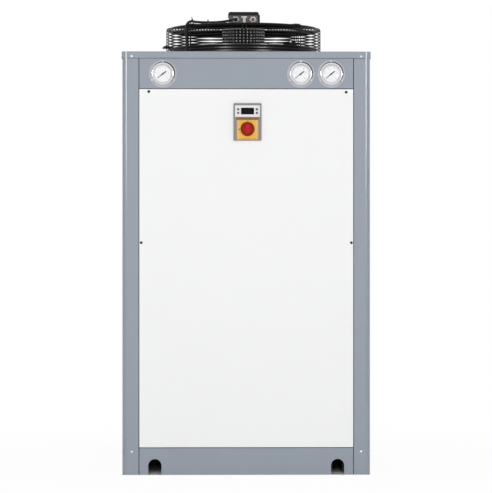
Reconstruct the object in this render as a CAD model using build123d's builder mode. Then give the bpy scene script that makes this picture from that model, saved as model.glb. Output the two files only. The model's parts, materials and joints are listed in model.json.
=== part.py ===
from build123d import *
from math import cos, pi, radians, sin, tan
import os

os.makedirs("parts", exist_ok=True)

# An air-cooled water chiller: a sheet metal cabinet on four corner posts, with a fan on its roof.
# Millimetres. The origin is the middle of the footprint on the floor, the front faces -Y, +Z is up.

# Cabinet
cabinet_width = 752.0
cabinet_depth = 1200.0
cabinet_height = 1283.0
sheet = 2.0
seam = 1.5
fold_depth = 20.0
base_height = 82.5
header_band = 113.0

# Corner posts
post_width = 50.0
post_radius = 16.0
post_flange = 15.0

# Roof
lid_rim = 20.0
lid_clearance = 0.25

# Lifting slots, channels and floor
slot_spacing = 554.0
slot_width = 40.0
slot_height = 48.0
channel_clearance = 2.0
floor_skirt = 20.0
anchor_radius = 5.5
anchor_from_post = 48.5

# Condenser on the right side, and the floor of the air plenum behind it
condenser_bottom = 420.0
condenser_thickness = 44.0
condenser_recess = 4.0
grille_thickness = 2.5
grille_pitch = 50.0
grille_bar = 4.0
plenum_above_condenser = 180.0
mullion_width = 60.0

# Fan ring and rotor
rotor_radius = 224.0
tip_clearance = 6.0
ring_wall = 2.5
ring_below_roof = 33.0
ring_above_roof = 54.0
ring_plate = 3.0
ring_plate_radius = 253.0
ring_lip = 10.5
hub_radius = 60.0
hub_height = 34.0
hub_gap = 23.0
blade_count = 5
blade_thickness = 3.5
root_chord = 92.0
root_pitch = 34.0
tip_chord = 150.0
tip_pitch = 21.0

# Fan guard
guard_radius = 252.0
guard_above_roof = 124.0
guard_corner = 11.0
guard_pitch = 9.3
ring_wire = 2.2
rib_wire = 1.5
rib_pairs = 8
rib_pair_gap = 11.0
wire_clearance = 0.05
wire_sides = 8
guard_plate_radius = 72.0
guard_plate = 4.0
plate_above_ribs = 0.3
lug_angle = 67.5
lug_count = 3
lug_width = 44.0
lug_height = 6.0
lug_reach = 264.0

# Fan motor and its terminal box
motor_radius = 68.0
motor_core_radius = 57.0
motor_height = 67.0
motor_fins = 36
fin_thickness = 3.0
end_shield = 4.0
shaft_radius = 9.0
shaft_seat = 25.0
running_clearance = 0.05
box_width = 96.0
box_depth = 90.0
box_height = 37.0
box_radius = 6.0
box_cover = 12.0
box_cover_lip = 2.0
box_cover_round = 7.0
box_end_plate = 5.0
gland_radius = 12.0
gland_length = 22.0
gland_height = 22.0
cable_gland_x = -26.0
blind_gland_x = 30.0
clip_width = 19.0
clip_height = 25.0
clip_stem = 9.0
clip_bar = 5.0

# Fan cable
cable_radius = 4.0
cable_clearance = 0.3
grommet_radius = 9.0
grommet_height = 6.0
grommet_reach = 264.0
cable_angle = 225.0
cable_over_guard = 4.6

# Pressure gauges
gauge_below_roof = 68.0
gauge_places = {"left": -253.0, "middle": 165.0, "right": 257.5}
gauge_flange_radius = 42.0
gauge_flange = 2.5
gauge_bezel_radius = 34.5
gauge_bezel = 11.5
gauge_bezel_round = 4.0
gauge_window_radius = 28.0
gauge_case_radius = 33.0
gauge_case_depth = 28.0
gauge_clearance = 0.5
dial_thickness = 2.0
dial_seat = 4.0
glass_thickness = 2.0
glass_recess = 1.0
needle_pin_radius = 1.5
needle_hub_radius = 3.0
needle_length = 22.0
needle_tip_width = 1.0
needle_tail = 13.0
needle_tail_width = 3.6
needle_thickness = 0.8
needle_gap = 1.5
needle_rest_angle = 218.0

# Control unit
control_x = 3.4
control_below_header = 44.0
control_border_side = 4.5
control_border_top = 6.4
control_border_bottom = 1.0
control_rib = 2.5
control_depth = 8.0
control_radius = 3.0
fit_clearance = 0.3
controller_width = 75.5
controller_height = 35.0
controller_depth = 11.0
display_width = 39.0
display_height = 20.0
display_depth = 0.8
key_radius = 3.5
key_offset_x = 28.3
key_offset_z = 5.5
key_travel = 1.0
key_stand = 1.5
key_length = 4.0
switch_size = 67.0
switch_depth = 6.0
switch_bevel = 6.5
switch_bevel_depth = 3.0
knob_radius = 21.3
knob_base = 9.0
knob_rim = 3.5
knob_dish = 2.0
knob_round = 1.5
knob_grip = 15.0
knob_grip_width = 13.0
knob_gap = 0.5
knob_pin_radius = 6.0

# Water ports on the rear
port_x = 180.0
port_low = 200.0
port_spacing = 100.0
port_radius = 24.0
port_bore = 15.15
port_inside = 30.0
power_gland_x = -180.0
power_gland_below_header = 170.0
power_gland_radius = 16.0
power_gland_bore = 9.0

# Worked out from the above
half_width = cabinet_width / 2
half_depth = cabinet_depth / 2
front_bay = cabinet_width - 2 * (post_width + seam)
side_bay = cabinet_depth - 2 * (post_width + seam)
anchor_spacing = side_bay - 2 * anchor_from_post
roof_underside = cabinet_height - sheet
header_bottom = cabinet_height - header_band
plenum_height = condenser_bottom + plenum_above_condenser
inner_face = fold_depth + sheet
ring_inner = rotor_radius + tip_clearance
ring_outer = ring_inner + ring_wall
rim_top = cabinet_height + ring_above_roof
guard_top = cabinet_height + guard_above_roof
motor_top = guard_top - guard_plate
motor_bottom = motor_top - motor_height
rotor_height = motor_bottom - hub_gap - hub_height / 2
gauge_height = cabinet_height - gauge_below_roof
power_gland_z = header_bottom - power_gland_below_header
control_top = header_bottom - control_below_header
controller_top = control_top - control_border_top - fit_clearance
controller_z = controller_top - controller_height / 2
switch_top = controller_top - controller_height - control_rib - 2 * fit_clearance
switch_z = switch_top - switch_size / 2
control_bottom = switch_top - switch_size - fit_clearance - control_border_bottom
control_z = (control_top + control_bottom) / 2
control_width = controller_width + 2 * (fit_clearance + control_border_side)
knob_front = switch_depth + knob_gap + knob_base + knob_grip
floor_top = base_height - seam - sheet - 7.0


def wall(side, along=0.0, z=0.0, out=0.0):
    """A plane on an outer face of the cabinet: local x runs to the right as one looks at it, y up."""
    normals = {"front": (0, -1, 0), "rear": (0, 1, 0), "left": (-1, 0, 0), "right": (1, 0, 0)}
    nx, ny, _ = normals[side]
    reach = (half_width if nx else half_depth) + out
    right = (-ny, nx, 0)
    origin = (nx * reach + right[0] * along, ny * reach + right[1] * along, z)
    return Plane(origin=origin, x_dir=right, z_dir=normals[side])


def folded_panel(face, width, height):
    """A sheet panel whose four edges are folded back. face is the plane of its outer skin."""
    with BuildPart() as panel:
        with BuildSketch(face):
            Rectangle(width, height)
        extrude(amount=-fold_depth)
        back = panel.faces().sort_by(Axis(face.origin, face.z_dir))[0]
        offset(amount=-sheet, openings=back)
    return panel.part


def around(radius, angle, z):
    """A point at a radius and an angle round the fan's axis."""
    return (radius * cos(radians(angle)), radius * sin(radians(angle)), z)


# Corner posts: a folded section with a rounded outer corner and a flange for the panels on each side
post_outline = [
    (0, 0),
    (post_width, 0),
    (post_width, fold_depth),
    (post_width + post_flange, fold_depth),
    (post_width + post_flange, inner_face),
    (post_width - sheet, inner_face),
    (post_width - sheet, sheet),
    (sheet, sheet),
    (sheet, post_width - sheet),
    (inner_face, post_width - sheet),
    (inner_face, post_width + post_flange),
    (fold_depth, post_width + post_flange),
    (fold_depth, post_width),
    (0, post_width),
]
for end, toward_y in (("front", -1), ("rear", 1)):
    for side, toward_x in (("left", -1), ("right", 1)):
        corner = [(toward_x * (half_width - u), toward_y * (half_depth - v)) for u, v in post_outline]
        with BuildPart() as corner_post:
            with BuildSketch(Plane.XY) as section:
                with BuildLine():
                    Polyline(*corner, close=True)
                make_face()
                outer = section.vertices().sort_by_distance(corner[0])[0]
                fillet(outer, radius=post_radius)
                inner = section.vertices().sort_by_distance(corner[7])[0]
                fillet(inner, radius=post_radius - sheet)
            extrude(amount=roof_underside)
        corner_post.part.label = f"corner_post_{end}_{side}"
        export_step(corner_post.part, f"parts/corner_post_{end}_{side}.step")

# Base rails between the posts: the front and rear ones have the two lifting slots
rail_height = base_height - seam / 2
for side in ("front", "rear"):
    with BuildPart() as base_rail:
        add(folded_panel(wall(side, z=rail_height / 2), front_bay, rail_height))
        with BuildSketch(wall(side)):
            with Locations((-slot_spacing / 2, 0), (slot_spacing / 2, 0)):
                SlotOverall(2 * slot_height, slot_width, rotation=90)
        extrude(amount=-fold_depth, mode=Mode.SUBTRACT)
    base_rail.part.label = f"base_rail_{side}"
    export_step(base_rail.part, f"parts/base_rail_{side}.step")

for side, toward_x in (("left", -1), ("right", 1)):
    anchor_x = toward_x * (half_width - (fold_depth + sheet) / 2)
    with BuildPart() as base_rail:
        add(folded_panel(wall(side, z=rail_height / 2), side_bay, rail_height))
        with BuildSketch(Plane.XY):
            with Locations((anchor_x, -anchor_spacing / 2), (anchor_x, anchor_spacing / 2)):
                Circle(anchor_radius)
        extrude(amount=sheet, mode=Mode.SUBTRACT)
    base_rail.part.label = f"base_rail_{side}"
    export_step(base_rail.part, f"parts/base_rail_{side}.step")

# Floor of the cabinet, folded down round its edge, inside the posts' flanges
with BuildPart() as floor_tray:
    with BuildSketch(Plane.XY.offset(floor_top)):
        Rectangle(cabinet_width - 2 * inner_face, cabinet_depth - 2 * inner_face)
    extrude(amount=-floor_skirt)
    offset(amount=-sheet, openings=floor_tray.faces().sort_by(Axis.Z)[0])
floor_tray.part.label = "floor_tray"
export_step(floor_tray.part, "parts/floor_tray.step")

# Channels that guide the lifting bars from the front slots to the rear ones, under the floor
channel_inner = slot_width + 2 * channel_clearance
channel_top = floor_top - floor_skirt
with BuildPart() as lifting_channels:
    with BuildSketch(Plane.XZ.offset(-half_depth + fold_depth)):
        with Locations((-slot_spacing / 2, 0), (slot_spacing / 2, 0)):
            Rectangle(channel_inner + 2 * sheet, channel_top, align=(Align.CENTER, Align.MIN))
            Rectangle(channel_inner, channel_top - sheet, align=(Align.CENTER, Align.MIN), mode=Mode.SUBTRACT)
    extrude(amount=cabinet_depth - 2 * fold_depth)
lifting_channels.part.label = "lifting_channels"
export_step(lifting_channels.part, "parts/lifting_channels.step")

# Front panel, bare where the real one is printed
front_panel = folded_panel(
    wall("front", z=(base_height + header_bottom) / 2), front_bay, header_bottom - base_height - seam
)
front_panel.label = "front_panel"
export_step(front_panel, "parts/front_panel.step")

# Header band under the roof, on all four sides, with the gauge holes in the front one
header_height = roof_underside - header_bottom - seam
header_z = roof_underside - seam / 2 - header_height / 2
with BuildPart() as gauge_panel:
    add(folded_panel(wall("front", z=header_z), front_bay, header_height))
    with BuildSketch(wall("front")):
        with Locations(*[(x, gauge_height) for x in gauge_places.values()]):
            Circle(gauge_case_radius + gauge_clearance)
    extrude(amount=-sheet, mode=Mode.SUBTRACT)
gauge_panel.part.label = "gauge_panel"
export_step(gauge_panel.part, "parts/gauge_panel.step")

for side, bay in (("rear", front_bay), ("left", side_bay), ("right", side_bay)):
    header = folded_panel(wall(side, z=header_z), bay, header_height)
    header.label = f"{side}_header"
    export_step(header, f"parts/{side}_header.step")

# Left side: two panels that meet on a flat mullion
left_panel_width = (side_bay - seam) / 2
for end, toward in (("rear", -1), ("front", 1)):
    side_panel = folded_panel(
        wall("left", along=toward * (left_panel_width + seam) / 2, z=(base_height + header_bottom) / 2),
        left_panel_width,
        header_bottom - base_height - seam,
    )
    side_panel.label = f"left_{end}_panel"
    export_step(side_panel, f"parts/left_{end}_panel.step")

with BuildPart() as left_mullion:
    with BuildSketch(Plane.XY.offset(floor_top)):
        with Locations((-half_width + fold_depth, 0)):
            Rectangle(sheet, mullion_width, align=(Align.MIN, Align.CENTER))
    extrude(amount=roof_underside - floor_top)
left_mullion.part.label = "left_mullion"
export_step(left_mullion.part, "parts/left_mullion.step")

# Right side: a panel below, and the finned condenser in its frame above
right_panel = folded_panel(
    wall("right", z=(base_height + condenser_bottom) / 2), side_bay, condenser_bottom - base_height - seam
)
right_panel.label = "right_panel"
export_step(right_panel, "parts/right_panel.step")

condenser_height = header_bottom - condenser_bottom - seam
condenser_z = (header_bottom + condenser_bottom) / 2
condenser_border = post_flange + sheet
coil_width = side_bay - 2 * condenser_border
coil_height = condenser_height - 2 * condenser_border
with BuildPart() as condenser_frame:
    with BuildSketch(wall("right", z=condenser_z)):
        Rectangle(side_bay, condenser_height)
        Rectangle(coil_width, coil_height, mode=Mode.SUBTRACT)
    extrude(amount=-fold_depth)
condenser_frame.part.label = "condenser_frame"
export_step(condenser_frame.part, "parts/condenser_frame.step")

with BuildPart() as condenser_coil:
    with BuildSketch(wall("right", z=condenser_z, out=-condenser_recess)):
        Rectangle(coil_width, coil_height)
    extrude(amount=-condenser_thickness)
condenser_coil.part.label = "condenser_coil"
export_step(condenser_coil.part, "parts/condenser_coil.step")

columns = round(coil_width / grille_pitch)
rows = round(coil_height / grille_pitch)
column_pitch = (coil_width - grille_bar) / columns
row_pitch = (coil_height - grille_bar) / rows
with BuildPart() as condenser_grille:
    with BuildSketch(wall("right", z=condenser_z, out=-condenser_recess)):
        Rectangle(coil_width, coil_height)
        with GridLocations(column_pitch, row_pitch, columns, rows):
            Rectangle(column_pitch - grille_bar, row_pitch - grille_bar, mode=Mode.SUBTRACT)
    extrude(amount=grille_thickness)
condenser_grille.part.label = "condenser_grille"
export_step(condenser_grille.part, "parts/condenser_grille.step")

# Rear panel with holes for the water ports and the power cable's gland
with BuildPart() as rear_panel:
    add(
        folded_panel(
            wall("rear", z=(base_height + header_bottom) / 2), front_bay, header_bottom - base_height - seam
        )
    )
    with BuildSketch(wall("rear")):
        with Locations((-port_x, port_low), (-port_x, port_low + port_spacing)):
            Circle(port_radius - sheet)
        with Locations((-power_gland_x, power_gland_z)):
            Circle(power_gland_radius - sheet)
    extrude(amount=-sheet, mode=Mode.SUBTRACT)
rear_panel.part.label = "rear_panel"
export_step(rear_panel.part, "parts/rear_panel.step")

# Water outlet and inlet: threaded sockets with a collar on the panel
port_reach = knob_front
with BuildPart() as water_ports:
    with BuildSketch(wall("rear", along=-port_x)):
        with Locations((0, port_low), (0, port_low + port_spacing)):
            Circle(port_radius)
    extrude(amount=port_reach)
    with BuildSketch(wall("rear", along=-port_x)):
        with Locations((0, port_low), (0, port_low + port_spacing)):
            Circle(port_radius - sheet - gauge_clearance)
    extrude(amount=-port_inside)
    with BuildSketch(wall("rear", along=-port_x, out=port_reach)):
        with Locations((0, port_low), (0, port_low + port_spacing)):
            Circle(port_bore)
    extrude(amount=-(port_reach + port_inside), mode=Mode.SUBTRACT)
water_ports.part.label = "water_ports"
export_step(water_ports.part, "parts/water_ports.step")

# Gland of the power cable
with BuildPart() as power_gland:
    with BuildSketch(wall("rear", along=-power_gland_x, z=power_gland_z)):
        RegularPolygon(power_gland_radius, 6)
    extrude(amount=power_gland_radius / 2)
    with BuildSketch(wall("rear", along=-power_gland_x, z=power_gland_z, out=power_gland_radius / 2)):
        Circle(power_gland_radius * 0.8)
    extrude(amount=power_gland_radius)
    fillet(power_gland.edges().sort_by(Axis.Y)[-1], radius=power_gland_radius / 4)
    with BuildSketch(wall("rear", along=-power_gland_x, z=power_gland_z)):
        Circle(power_gland_radius - sheet - gauge_clearance)
    extrude(amount=-port_inside / 2)
    with BuildSketch(wall("rear", along=-power_gland_x, z=power_gland_z, out=-port_inside)):
        Circle(power_gland_bore)
    extrude(amount=port_inside + 2 * power_gland_radius, mode=Mode.SUBTRACT)
power_gland.part.label = "power_gland"
export_step(power_gland.part, "parts/power_gland.step")

# Floor of the air plenum under the fan
with BuildPart() as plenum_floor:
    with BuildSketch(Plane.XY.offset(plenum_height)):
        with Locations((-half_width + inner_face, 0)):
            Rectangle(
                cabinet_width - inner_face - condenser_recess - condenser_thickness,
                cabinet_depth - 2 * inner_face,
                align=(Align.MIN, Align.CENTER),
            )
    extrude(amount=sheet)
plenum_floor.part.label = "plenum_floor"
export_step(plenum_floor.part, "parts/plenum_floor.step")

# Roof: a shallow cap over the posts, with the fan's opening and the cable's hole
lid_stand = lid_clearance + sheet
grommet_place = around(grommet_reach, cable_angle, cabinet_height)
with BuildPart() as top_panel:
    with BuildSketch(Plane.XY.offset(cabinet_height)):
        RectangleRounded(
            cabinet_width + 2 * lid_stand, cabinet_depth + 2 * lid_stand, post_radius + lid_stand
        )
    extrude(amount=-lid_rim)
    offset(amount=-sheet, openings=top_panel.faces().sort_by(Axis.Z)[0])
    with BuildSketch(Plane.XY.offset(cabinet_height)):
        Circle(ring_outer + gauge_clearance)
        with Locations(grommet_place[:2]):
            Circle(grommet_radius - sheet)
    extrude(amount=-sheet, mode=Mode.SUBTRACT)
top_panel.part.label = "top_panel"
export_step(top_panel.part, "parts/top_panel.step")

# Fan ring: a collar through the roof, with a plate on the roof and a lip round its top
with BuildPart() as fan_ring:
    with BuildSketch(Plane.XZ):
        with BuildLine():
            Polyline(
                (ring_inner, cabinet_height - ring_below_roof),
                (ring_outer, cabinet_height - ring_below_roof),
                (ring_outer, cabinet_height),
                (ring_plate_radius, cabinet_height),
                (ring_plate_radius, cabinet_height + ring_plate),
                (ring_outer, cabinet_height + ring_plate),
                (ring_outer, rim_top - ring_plate),
                (ring_outer + ring_lip, rim_top - ring_plate),
                (ring_outer + ring_lip, rim_top),
                (ring_inner, rim_top),
                close=True,
            )
        make_face()
    revolve(axis=Axis.Z)
fan_ring.part.label = "fan_ring"
export_step(fan_ring.part, "parts/fan_ring.step")

# Guard rings: one stack round the side, one round the corner, and flat ones across the top
rib_line = guard_radius - rib_wire
rib_top = guard_top - plate_above_ribs - rib_wire
ring_line = rib_line - rib_wire - ring_wire - wire_clearance
ring_top = rib_top - rib_wire - ring_wire - wire_clearance
ring_corner = guard_corner - 2 * (rib_wire + wire_clearance) - ring_wire
side_bottom = cabinet_height + ring_plate + 2 * ring_wire
side_rings = int((ring_top - ring_corner - side_bottom) / guard_pitch) + 1
top_rings = int((ring_line - ring_corner - guard_plate_radius - 2 * ring_wire) / guard_pitch) + 1
ring_places = [(ring_line, ring_top - ring_corner - i * guard_pitch) for i in range(side_rings)]
ring_places += [(ring_line - ring_corner - i * guard_pitch, ring_top) for i in range(top_rings)]
with BuildPart() as guard_rings:
    with BuildSketch(Plane.XZ):
        with Locations(*ring_places):
            RegularPolygon(ring_wire, wire_sides)
        with Locations((ring_line - ring_corner, ring_top - ring_corner)):
            with PolarLocations(ring_corner, 1, start_angle=45):
                RegularPolygon(ring_wire, wire_sides)
    revolve(axis=Axis.Z)
    with BuildSketch(Plane.XY.offset(rim_top)):
        with PolarLocations((ring_outer + lug_reach) / 2, lug_count, start_angle=lug_angle):
            Rectangle(lug_reach - ring_outer, lug_width)
    extrude(amount=lug_height)
guard_rings.part.label = "guard_rings"
export_step(guard_rings.part, "parts/guard_rings.step")

# Guard ribs: pairs of wires that run down outside the rings, welded to the plate that holds the motor
with BuildPart() as guard_ribs:
    with BuildPart(mode=Mode.PRIVATE) as rib:
        for beside in (-rib_pair_gap / 2, rib_pair_gap / 2):
            with BuildLine(Plane.XZ.offset(beside)) as rib_path:
                FilletPolyline(
                    (rib_line, cabinet_height + ring_plate),
                    (rib_line, rib_top),
                    (guard_plate_radius - 2 * rib_wire, rib_top),
                    radius=guard_corner - rib_wire,
                )
            with BuildSketch(Plane(origin=rib_path.line @ 0, z_dir=rib_path.line % 0)):
                RegularPolygon(rib_wire, wire_sides)
            sweep(path=rib_path.line)
    with PolarLocations(0, rib_pairs):
        add(rib.part)
    with BuildSketch(Plane.XY.offset(guard_top)):
        Circle(guard_plate_radius)
    extrude(amount=-guard_plate)
guard_ribs.part.label = "guard_ribs"
export_step(guard_ribs.part, "parts/guard_ribs.step")

# Fan motor: a finned body under the guard's plate
with BuildPart() as fan_motor:
    with BuildSketch(Plane.XY.offset(motor_bottom)):
        Circle(motor_core_radius)
        with PolarLocations((motor_core_radius + motor_radius) / 2, motor_fins):
            Rectangle(motor_radius - motor_core_radius + sheet, fin_thickness)
    extrude(amount=motor_height - end_shield)
    with BuildSketch(Plane.XY.offset(motor_top)):
        Circle(motor_radius + sheet)
    extrude(amount=-end_shield)
    with BuildSketch(Plane.XY.offset(motor_bottom)):
        Circle(shaft_radius + running_clearance)
    extrude(amount=shaft_seat + sheet, mode=Mode.SUBTRACT)
fan_motor.part.label = "fan_motor"
export_step(fan_motor.part, "parts/fan_motor.step")


def blade_section(reach, chord, pitch):
    """A cambered blade section on a plane square to the blade's length."""
    chord_line = (0, cos(radians(pitch)), sin(radians(pitch)))
    plane = Plane(origin=(reach, 0, rotor_height), x_dir=chord_line, z_dir=(1, 0, 0))
    rise = chord / 14
    with BuildSketch(plane) as section:
        with BuildLine():
            ThreePointArc((-chord / 2, 0), (0, rise + blade_thickness / 2), (chord / 2, 0))
            ThreePointArc((chord / 2, 0), (0, rise - blade_thickness / 2), (-chord / 2, 0))
        make_face()
    return section.sketch


# Fan rotor: five twisted blades round a hub, on a shaft that runs in the motor
with BuildPart() as fan_rotor:
    with BuildPart(mode=Mode.PRIVATE) as blade:
        loft([
            blade_section(hub_radius - blade_thickness, root_chord, root_pitch).face(),
            blade_section(rotor_radius + tip_clearance, tip_chord, tip_pitch).face(),
        ])
        with BuildSketch(Plane.XY.offset(rotor_height - tip_chord)):
            Circle(rotor_radius)
        extrude(amount=2 * tip_chord, mode=Mode.INTERSECT)
    with PolarLocations(0, blade_count, start_angle=18):
        add(blade.part)
    with BuildSketch(Plane.XY.offset(rotor_height - hub_height / 2)):
        Circle(hub_radius)
    extrude(amount=hub_height)
    with BuildSketch(Plane.XY.offset(rotor_height)):
        Circle(shaft_radius)
    extrude(amount=motor_bottom + shaft_seat - rotor_height)
fan_rotor.part.label = "fan_rotor"
export_step(fan_rotor.part, "parts/fan_rotor.step")

# Terminal box on the guard's plate, with its cover
with BuildPart() as terminal_box:
    with BuildSketch(Plane.XY.offset(guard_top)):
        RectangleRounded(box_width, box_depth, box_radius)
    extrude(amount=box_height)
terminal_box.part.label = "terminal_box"
export_step(terminal_box.part, "parts/terminal_box.step")

cover_width = box_width + 2 * box_cover_lip
cover_depth = box_depth + 2 * box_cover_lip
with BuildPart() as terminal_box_cover:
    with BuildSketch(Plane.XY.offset(guard_top + box_height)):
        RectangleRounded(cover_width, cover_depth, box_radius + box_cover_lip)
    extrude(amount=box_cover)
    fillet(terminal_box_cover.faces().sort_by(Axis.Z)[-1].edges(), radius=box_cover_round)
    with BuildSketch(Plane.XY.offset(guard_top + fit_clearance)):
        with Locations((box_width / 2, 0)):
            Rectangle(box_end_plate, box_depth - 2 * box_radius, align=(Align.MIN, Align.CENTER))
    extrude(amount=box_height - fit_clearance + box_cover_lip)
terminal_box_cover.part.label = "terminal_box_cover"
export_step(terminal_box_cover.part, "parts/terminal_box_cover.step")

# Two glands on the box's front: the fan cable leaves the left one, the right one is plugged
gland_z = guard_top + gland_height
with BuildPart() as cable_glands:
    with BuildSketch(Plane.XZ.offset(box_depth / 2)):
        with Locations((cable_gland_x, gland_z), (blind_gland_x, gland_z)):
            RegularPolygon(gland_radius, 6)
    extrude(amount=gland_length / 3)
    with BuildSketch(Plane.XZ.offset(box_depth / 2 + gland_length / 3)):
        with Locations((cable_gland_x, gland_z), (blind_gland_x, gland_z)):
            Circle(gland_radius * 0.85)
    extrude(amount=gland_length * 2 / 3, taper=8)
    with BuildSketch(Plane.XZ.offset(box_depth / 2 + gland_length)):
        with Locations((cable_gland_x, gland_z)):
            Circle(cable_radius + cable_clearance)
    extrude(amount=-gland_length, mode=Mode.SUBTRACT)
cable_glands.part.label = "cable_glands"
export_step(cable_glands.part, "parts/cable_glands.step")

# Clip between the glands
with BuildPart() as cable_clip:
    with BuildSketch(Plane.XZ.offset(box_depth / 2)):
        with Locations((cable_gland_x / 2 + blind_gland_x / 2, gland_z)):
            Rectangle(clip_stem, clip_height)
            with Locations((0, (clip_height - clip_bar) / 2), (0, (clip_bar - clip_height) / 2)):
                Rectangle(clip_width, clip_bar)
    extrude(amount=sheet)
cable_clip.part.label = "cable_clip"
export_step(cable_clip.part, "parts/cable_clip.step")

# Grommet where the fan cable enters the roof
with BuildPart() as cable_grommet:
    with BuildSketch(Plane.XY.offset(cabinet_height)):
        with Locations(grommet_place[:2]):
            Circle(grommet_radius)
    extrude(amount=grommet_height)
    with BuildSketch(Plane.XY.offset(cabinet_height)):
        with Locations(grommet_place[:2]):
            Circle(grommet_radius - sheet - wire_clearance)
    extrude(amount=-grommet_height)
    with BuildSketch(Plane.XY.offset(cabinet_height + grommet_height)):
        with Locations(grommet_place[:2]):
            Circle(cable_radius + cable_clearance)
    extrude(amount=-2 * grommet_height, mode=Mode.SUBTRACT)
cable_grommet.part.label = "cable_grommet"
export_step(cable_grommet.part, "parts/cable_grommet.step")

# Fan cable: out of the gland, across the guard, over its edge and down a rib into the roof
cable_low = guard_top + cable_over_guard
cable_route = [
    (cable_gland_x, -box_depth / 2, gland_z),
    (cable_gland_x, -92.0, gland_z),
    (-45.0, -118.0, guard_top + 13.5),
    (-80.0, -134.0, cable_low + 2.0),
    (-122.0, -145.0, cable_low),
    (-157.0, -157.0, cable_low + 1.0),
    around(guard_radius - 5.5, cable_angle, cable_low + 2.5),
    around(guard_radius + 12.0, cable_angle, guard_top - 8.5),
    around(guard_radius + 10.0, cable_angle, guard_top - 38.0),
    around(guard_radius + 8.0, cable_angle, guard_top - 70.0),
    around(grommet_reach, cable_angle, cabinet_height + 20.0),
    around(grommet_reach, cable_angle, cabinet_height - 2 * grommet_height),
]
corner_radii = []
for before, here, after in zip(cable_route, cable_route[1:], cable_route[2:]):
    arriving = Vector(*here) - Vector(*before)
    leaving = Vector(*after) - Vector(*here)
    half_turn = radians(arriving.get_angle(leaving) / 2)
    corner_radii.append(0.45 * min(arriving.length, leaving.length) / tan(half_turn))
print("fan cable bend radii:", [round(r) for r in corner_radii])
with BuildPart() as fan_cable:
    with BuildLine() as cable_path:
        FilletPolyline(*cable_route, radius=corner_radii)
    with BuildSketch(Plane(origin=cable_path.line @ 0, z_dir=cable_path.line % 0)):
        Circle(cable_radius)
    sweep(path=cable_path.line)
cable_length = sum(edge.length for edge in cable_path.edges())
section_volume = pi * cable_radius**2 * cable_length
print(f"fan cable: length {cable_length:.1f}, volume {fan_cable.part.volume:.0f} of {section_volume:.0f}")
fan_cable.part.label = "fan_cable"
export_step(fan_cable.part, "parts/fan_cable.step")

# Gauge cases: a body behind the panel, a flange on it and a bezel round the dial
gauges = [(x, gauge_height) for x in gauge_places.values()]
with BuildPart() as gauge_cases:
    with BuildSketch(wall("front")):
        with Locations(*gauges):
            Circle(gauge_flange_radius)
    extrude(amount=gauge_flange)
    with BuildSketch(wall("front")):
        with Locations(*gauges):
            Circle(gauge_bezel_radius)
    extrude(amount=gauge_flange + gauge_bezel)
    with BuildSketch(wall("front")):
        with Locations(*gauges):
            Circle(gauge_case_radius)
    extrude(amount=-gauge_case_depth)
    with BuildSketch(wall("front", out=gauge_flange + gauge_bezel)):
        with Locations(*gauges):
            Circle(gauge_window_radius)
    extrude(amount=-(gauge_flange + gauge_bezel + dial_seat), mode=Mode.SUBTRACT)
    for bezel_face in gauge_cases.faces().sort_by(Axis.Y)[:len(gauges)]:
        fillet(bezel_face.outer_wire().edges(), radius=gauge_bezel_round)
gauge_cases.part.label = "gauge_cases"
export_step(gauge_cases.part, "parts/gauge_cases.step")

with BuildPart() as gauge_dials:
    with BuildSketch(wall("front", out=-dial_seat)):
        with Locations(*gauges):
            Circle(gauge_window_radius - running_clearance)
            Circle(needle_pin_radius + running_clearance, mode=Mode.SUBTRACT)
    extrude(amount=dial_thickness)
gauge_dials.part.label = "gauge_dials"
export_step(gauge_dials.part, "parts/gauge_dials.step")

with BuildPart() as gauge_glasses:
    with BuildSketch(wall("front", out=gauge_flange + gauge_bezel - glass_recess)):
        with Locations(*gauges):
            Circle(gauge_window_radius - running_clearance)
    extrude(amount=-glass_thickness)
gauge_glasses.part.label = "gauge_glasses"
export_step(gauge_glasses.part, "parts/gauge_glasses.step")

# Gauge needles: a hub on a pin in the dial, a tapered pointer and a short tail
for name, gauge_x in gauge_places.items():
    dial_front = dial_thickness - dial_seat
    with BuildPart() as gauge_needle:
        with BuildSketch(wall("front", along=gauge_x, z=gauge_height, out=dial_front + needle_gap)):
            with Locations((0, 0, 0)):
                Circle(needle_hub_radius)
            with BuildLine(mode=Mode.PRIVATE) as pointer:
                Polyline(
                    (-needle_tail, needle_tail_width / 2),
                    (-needle_tail, -needle_tail_width / 2),
                    (0, -needle_tail_width / 2),
                    (needle_length, -needle_tip_width / 2),
                    (needle_length, needle_tip_width / 2),
                    (0, needle_tail_width / 2),
                    close=True,
                )
            with Locations(Location((0, 0, 0), (0, 0, needle_rest_angle))):
                add(make_face(pointer.edges(), mode=Mode.PRIVATE))
        extrude(amount=needle_thickness)
        with BuildSketch(wall("front", along=gauge_x, z=gauge_height, out=dial_front + needle_gap)):
            Circle(needle_pin_radius)
        extrude(amount=-(needle_gap + dial_thickness))
    gauge_needle.part.label = f"gauge_needle_{name}"
    export_step(gauge_needle.part, f"parts/gauge_needle_{name}.step")

# Control frame on the front panel, with a window for the controller and one for the main switch
with BuildPart() as control_frame:
    with BuildSketch(wall("front", along=control_x, z=control_z)):
        RectangleRounded(control_width, control_top - control_bottom, control_radius)
        with Locations((0, controller_z - control_z)):
            Rectangle(controller_width + 2 * fit_clearance, controller_height + 2 * fit_clearance, mode=Mode.SUBTRACT)
        with Locations((0, switch_z - control_z)):
            Rectangle(switch_size + 2 * fit_clearance, switch_size + 2 * fit_clearance, mode=Mode.SUBTRACT)
    extrude(amount=control_depth)
control_frame.part.label = "control_frame"
export_step(control_frame.part, "parts/control_frame.step")

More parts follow.
